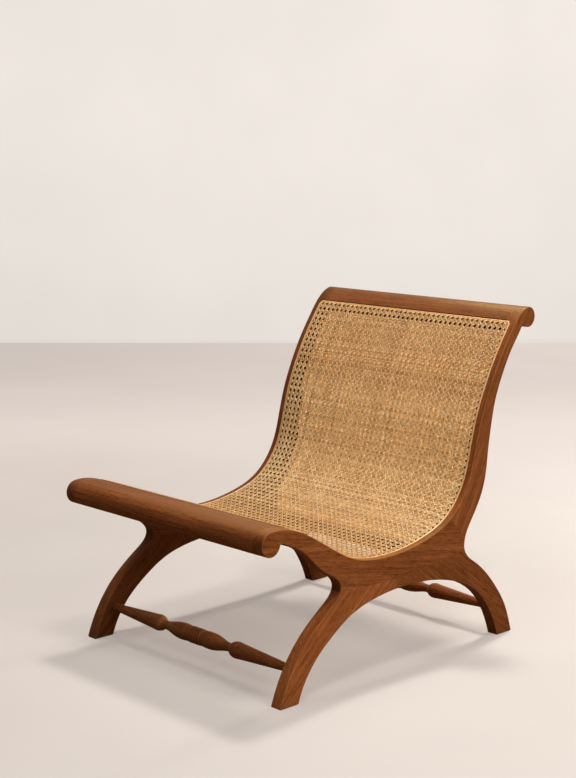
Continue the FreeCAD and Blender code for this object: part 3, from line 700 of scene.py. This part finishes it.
def wood(name, grain, shift, tone=1.0, specular=WOOD_SPECULAR, painted_sheen=0.0, ringed=False):
    """Oiled brown wood, with its grain along a direction.

    It is darker where a face cuts across the grain, has painted shade in corners and a painted highlight
    along edges where a side face turns away, may have a painted sheen on its top, and is dull where a face
    looks down.
    """
    made, shading, shader = new_material(name)
    along = Vector(grain).normalized()
    turn = along.to_track_quat("X", "Z").inverted().to_euler()
    where = shading.add("ShaderNodeTexCoord").outputs
    placing = [("Vector", where["Object"]), ("Rotation", turn), ("Location", shift)]
    placed = shading.add("ShaderNodeMapping", placing).outputs["Vector"]
    normal = shading.split(where["Normal"])

    def pattern(fine_along, fine_across, detail, distortion):
        scaling = [("Vector", placed), ("Scale", (fine_along, fine_across, fine_across))]
        scaled = shading.add("ShaderNodeMapping", scaling).outputs["Vector"]
        return shading.noise(
            scaled, Scale=1.0, Detail=detail, Roughness=PATTERN_ROUGHNESS, Distortion=distortion
        )

    bands = pattern(*BANDS)
    streaks = pattern(*STREAKS)
    pores = pattern(*PORES)
    patches = pattern(*PATCHES)
    colours = [tuple(channel * tone for channel in colour) for colour in WOOD_COLOURS]
    surface = shading.ramp(bands, list(zip(COLOUR_PLACES, colours)))
    surface = shading.tinted(surface, STREAK_SHARE, shading.ramp(streaks, STREAK_FACTORS))
    surface = shading.tinted(surface, PORE_SHARE, shading.ramp(pores, PORE_FACTORS))
    surface = shading.tinted(surface, 1.0, shading.ramp(patches, PATCH_FACTORS))

    cut = shading.maths("POWER", shading.dot(where["Normal"], along), 2.0)
    surface = shading.mixed(surface, shading.maths("MULTIPLY", cut, END_SHARE), (*END_GRAIN, 1))

    # A painted highlight along edges where a side face turns away
    squared = shading.maths("MULTIPLY", normal["X"], normal["X"])
    corner = shading.maths("MULTIPLY", squared, shading.maths("SUBTRACT", 1.0, squared))
    highlight_share = shading.maths("MULTIPLY", patches, EDGE_HIGHLIGHT_SHARE)
    edge_highlight = shading.maths("MULTIPLY", shading.mapped(corner, EDGE_HIGHLIGHT_RANGE), highlight_share)
    surface = shading.mixed(surface, edge_highlight, (*EDGE_HIGHLIGHT, 1))

    if ringed:
        surface = ringed_surface(shading, surface, shading.split(where["Object"])["X"])
    # A painted sheen on the top
    if painted_sheen:
        x = shading.split(where["Object"])["X"]
        surface = sheened_surface(shading, surface, x, normal["Z"], painted_sheen)
    # Painted shade in corners, darker where other surfaces close the wood in
    crevice = shading.add(
        "ShaderNodeAmbientOcclusion", [("Distance", CREVICE_REACH)], samples=CREVICE_SAMPLES
    )
    painted_shade = shading.ramp(crevice.outputs["AO"], PAINTED_SHADE_FACTORS)

    shine = shading.mapped(streaks, (0.0, 1.0), WOOD_ROUGHNESS)
    dull = shading.mapped(normal["Z"], DULL_FACING, DULL_ROUGHNESS)
    bump = shading.add(
        "ShaderNodeBump", [("Height", pores), ("Strength", PORE_BUMP), ("Distance", PORE_DEPTH)]
    )
    shading.feed(shader, [
        ("Base Color", shading.tinted(surface, PAINTED_SHADE_SHARE, painted_shade)),
        ("Roughness", shading.maths("ADD", shine, dull)),
        ("Normal", bump.outputs["Normal"]),
        ("Specular IOR Level", specular),
        ("Specular Tint", WOOD_SHEEN),
    ])
    return made


def cane(name, colours, flecked, glow=0.0, tints_and_sheen=()):
    """Glossy cane, each strand of its own shade, with dark flecks, that lets a share of the light through.

    Its colour may be tinted along the chair's depth, which on the front sheet includes a painted sheen.
    """
    made, shading, shader = new_material(name)
    where = shading.add("ShaderNodeTexCoord").outputs["Object"]
    strand = shading.add("ShaderNodeAttribute", attribute_name="tone").outputs["Fac"]
    slow = shading.noise(where, Scale=SLOW_SCALE, Detail=SLOW_DETAIL)
    fleck = shading.noise(where, Scale=FLECK_SCALE, Detail=FLECK_DETAIL)
    both = shading.add("ShaderNodeMix", [("Factor", STRAND_SHARE), ("A", slow), ("B", strand)])
    surface = shading.ramp(both.outputs["Result"], list(zip(COLOUR_PLACES, colours)))
    surface = shading.tinted(surface, flecked, shading.ramp(fleck, FLECK_FACTORS))
    if tints_and_sheen:
        start = tints_and_sheen[0][0]
        end = tints_and_sheen[-1][0]
        depth = shading.mapped(shading.split(where)["Y"], (start, end))
        stops = [((at - start) / (end - start), tint) for at, tint in tints_and_sheen]
        surface = shading.tinted(surface, 1.0, shading.ramp(depth, stops))
    shading.feed(shader, [
        ("Base Color", surface), ("Roughness", CANE_ROUGHNESS), ("Specular IOR Level", CANE_SPECULAR),
    ])
    if glow:
        through = shading.add("ShaderNodeBsdfTranslucent", [("Color", surface)])
        shading.show(shading.either(glow, shader.outputs["BSDF"], through.outputs["BSDF"]))
    return made


def stage_material(name, seen, shaded, unseen, fades, reflected, own_light):
    """A matt stage surface: one look for the picture and reflections, and a duller one for what it lights.

    What is seen is partly its own even light and partly the lamps' light, which keeps the shadows. The even
    part grows away from the chair. A fade brightens or dims the look along a direction as painted light and
    shade, and reflections show a share of the look.
    """
    made, shading, shader = new_material(name)
    where = shading.add("ShaderNodeTexCoord").outputs["Object"]

    def eased(value, source, result):
        return shading.mapped(value, source, result, interpolation_type="SMOOTHSTEP")

    blotch = shading.noise(where, Scale=BLOTCH_SCALE, Detail=BLOTCH_DETAIL)
    shade = eased(blotch, BLOTCH_RANGE, (1.0 - STAGE_MOTTLE, 1.0 + STAGE_MOTTLE))
    for direction, reach, factors in fades:
        faded = eased(shading.dot(where, direction), reach, factors)
        shade = shading.maths("MULTIPLY", shade, faded)
    distance = shading.add("ShaderNodeVectorMath", [(0, where)], operation="LENGTH").outputs["Value"]
    share = eased(distance, (STAGE_NEAR, STAGE_FAR), own_light)
    looks = []
    for kind, colour in (("ShaderNodeBsdfDiffuse", shaded), ("ShaderNodeEmission", seen)):
        faded = shading.add("ShaderNodeVectorMath", [(0, colour), ("Scale", shade)], operation="SCALE")
        looks.append(shading.add(kind, [("Color", faded.outputs[0])]).outputs[0])
    look = shading.either(share, *looks)
    ray = shading.add("ShaderNodeLightPath").outputs
    shown = ray["Is Camera Ray"]
    for kind, amount in (("Is Glossy Ray", reflected), ("Is Transmission Ray", 1.0)):
        part = shading.maths("MULTIPLY", ray[kind], amount)
        shown = shading.maths("MAXIMUM", shown, part)
    shading.feed(shader, [
        ("Base Color", (*unseen, 1)), ("Roughness", STAGE_ROUGHNESS), ("Specular IOR Level", 0.0),
    ])
    shading.show(shading.either(shown, shader.outputs["BSDF"], look))
    return made


def stage_plane(name, corners, look):
    """A flat piece of the stage."""
    mesh = bpy.data.meshes.new(name)
    mesh.from_pydata(corners, [], [list(range(len(corners)))])
    mesh.materials.append(stage_material(name, **look))
    made = bpy.data.objects.new(name, mesh)
    bpy.context.scene.collection.objects.link(made)


def dress(node, material):
    """Gives a solid one material."""
    mesh = nodes[node].data
    mesh.materials.clear()
    mesh.materials.append(material)


def lamp(
    name, place, size, power, target=LAMP_TARGET, spread=180.0, glossy=True, diffuse=True, colour=LAMP_COLOUR
):
    """A soft square lamp that looks at a point and that the camera doesn't see.

    It may give no highlights, or highlights alone.
    """
    data = bpy.data.lights.new(name, "AREA")
    data.size = size
    data.energy = power
    data.color = colour
    data.spread = math.radians(spread)
    made = bpy.data.objects.new(name, data)
    made.visible_camera = False
    made.visible_glossy = glossy
    made.visible_diffuse = diffuse
    made.location = place
    made.rotation_mode = "QUATERNION"
    made.rotation_quaternion = (Vector(target) - Vector(place)).to_track_quat("-Z", "Y")
    bpy.context.scene.collection.objects.link(made)


def light_world():
    """A weak warm light from all round, that the camera sees as a pale backdrop."""
    world = bpy.data.worlds.new("studio")
    bpy.context.scene.world = world
    shading = Shading(world)
    weak = shading.tree.nodes["Background"]
    shading.feed(weak, [("Color", WORLD_COLOUR), ("Strength", WORLD_STRENGTH)])
    pale = shading.add("ShaderNodeBackground", [("Color", WORLD_SEEN)])
    ray = shading.add("ShaderNodeLightPath").outputs["Is Camera Ray"]
    both = shading.either(ray, weak.outputs["Background"], pale.outputs["Background"])
    shading.show(both, "World Output")


def place_camera():
    """The camera at the photograph's angle."""
    data = bpy.data.cameras.new("camera")
    data.lens = CAMERA_LENS
    data.sensor_width = CAMERA_SENSOR
    data.clip_end = CAMERA_REACH
    camera = bpy.data.objects.new("camera", data)
    back = Vector((
        math.sin(CAMERA_AZIMUTH) * math.cos(CAMERA_ELEVATION),
        -math.cos(CAMERA_AZIMUTH) * math.cos(CAMERA_ELEVATION),
        math.sin(CAMERA_ELEVATION),
    ))
    level_up = back.cross(VIEW_RIGHT)
    right = VIEW_RIGHT * math.cos(CAMERA_ROLL) + level_up * math.sin(CAMERA_ROLL)
    up = level_up * math.cos(CAMERA_ROLL) - VIEW_RIGHT * math.sin(CAMERA_ROLL)
    turned = Matrix((right, up, back)).transposed().to_4x4()
    camera.matrix_world = Matrix.Translation(CAMERA_PLACE) @ turned
    bpy.context.scene.collection.objects.link(camera)
    bpy.context.scene.camera = camera


# The wooden pieces, each with its grain along its own plank
for side, across in SIDE_SHIFTS.items():
    for order, (piece, grain) in enumerate(GRAINS.items()):
        node = side + "_" + piece
        shift = (across, *(order * step for step in PLANK_SHIFT))
        dress(node, wood(node + "_wood", grain, shift, **SIDE_LOOKS[node]))
for order, (node, look) in enumerate(CROSS_LOOKS.items()):
    shift = tuple(order * step for step in CROSS_SHIFT)
    dress(node, wood(node + "_wood", ACROSS, shift, **look))
dowel_wood = wood("dowel_wood", ACROSS, DOWEL_SHIFT, DOWEL_TONE)
for node in nodes:
    if node.endswith("_dowels"):
        dress(node, dowel_wood)

# The cane sheets
front_low, front_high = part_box("front_cane")
rear_low, rear_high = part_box("rear_cane")
front = Panel("front_cane", lambda y: Vector((0, y, RAY_START)), (0, 0, -1), front_low.y, front_high.y)
rear = Panel("rear_cane", lambda z: Vector((0, RAY_START, z)), (0, -1, 0), rear_low.z, rear_high.z)
front_half = front_high.x
rear_half = rear_high.x
rear_tail_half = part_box("rear_cane_bottom_spline")[1].x
rear_shoulder = np.interp(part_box("rear_cane_left_spline")[0].z, rear.z, rear.along)


def front_half_width(along):
    """Half the front sheet's width, which is the same all along."""
    return np.full_like(along, front_half)


def rear_half_width(along):
    """Half the rear sheet's width, which is less at its tail."""
    return np.where(along > rear_shoulder, rear_half, rear_tail_half)


cane_material = cane("woven_cane", CANE_COLOURS, FRONT_FLECKS, FRONT_GLOW, SHEET_TINTS_AND_SHEEN)
rear_material = cane("rear_woven_cane", REAR_CANE_COLOURS, REAR_FLECKS, REAR_GLOW)
reed_material = cane("reed", REED_COLOURS, REED_FLECKS)
front_pieces = weave(front, "front_cane_weave", FRONT_COLUMN, FRONT_ROW, front_half_width, cane_material)
rear_piece = closed_weave(rear, "rear_cane_weave", rear_half_width, rear_material)
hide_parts("front_cane")
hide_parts("rear_cane")

# The reeds round the sheets
front_reed = reed(front, "front_cane_reed", round_reed_path(front, front_half, -REED_WIDTH), reed_material)
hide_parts("front_cane_top_spline", "front_cane_left_spline", "front_cane_right_spline")
rear_reed = reed(rear, "rear_cane_reed", round_reed_path(rear, rear_half, rear_shoulder), reed_material)
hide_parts("rear_cane_top_spline", "rear_cane_left_spline", "rear_cane_right_spline")
dress("front_cane_front_spline", reed_material)
dress("rear_cane_bottom_spline", reed_material)

# Floor and wall
floor_signs = ((-1, -1), (1, -1), (1, 1), (-1, 1))
stage_plane("floor", [(x * FLOOR_REACH, y * FLOOR_REACH, 0) for x, y in floor_signs], FLOOR_LOOK)
wall_foot = Vector((CAMERA_PLACE.x, CAMERA_PLACE.y, 0)) + VIEW_FLAT * WALL_DISTANCE
wall_azimuth = CAMERA_AZIMUTH + WALL_TURN
wall_along = Vector((math.cos(wall_azimuth), math.sin(wall_azimuth), 0))
left_foot = wall_foot - wall_along * FLOOR_REACH
right_foot = wall_foot + wall_along * FLOOR_REACH
rise = UPWARD * WALL_HEIGHT
stage_plane("wall", [left_foot, right_foot, right_foot + rise, left_foot + rise], WALL_LOOK)

# Light and camera
light_world()
lamp("key", (-2.45, 4.2, 14.0), size=1.7, power=1600)
lamp("top", (2.5, -0.65, 7.9), size=1.4, power=210)
lamp("front", (0.3, -2.3, 3.4), size=2.2, power=60)
lamp("side", (3.6, 0.2, 1.9), size=1.6, power=102, glossy=False)
lamp("rear", (-0.3, 4.6, 0.30), size=1.0, power=42, target=(0.0, 0.2, -0.20), spread=42.0, glossy=False)
lamp(
    "sheen", (-0.22, 0.77, 1.53), size=0.4, power=5.5, target=(0.28, 0.40, 0.75), diffuse=False,
    colour=SHEEN_COLOUR,
)
place_camera()
bpy.context.scene.view_settings.view_transform = "Standard"
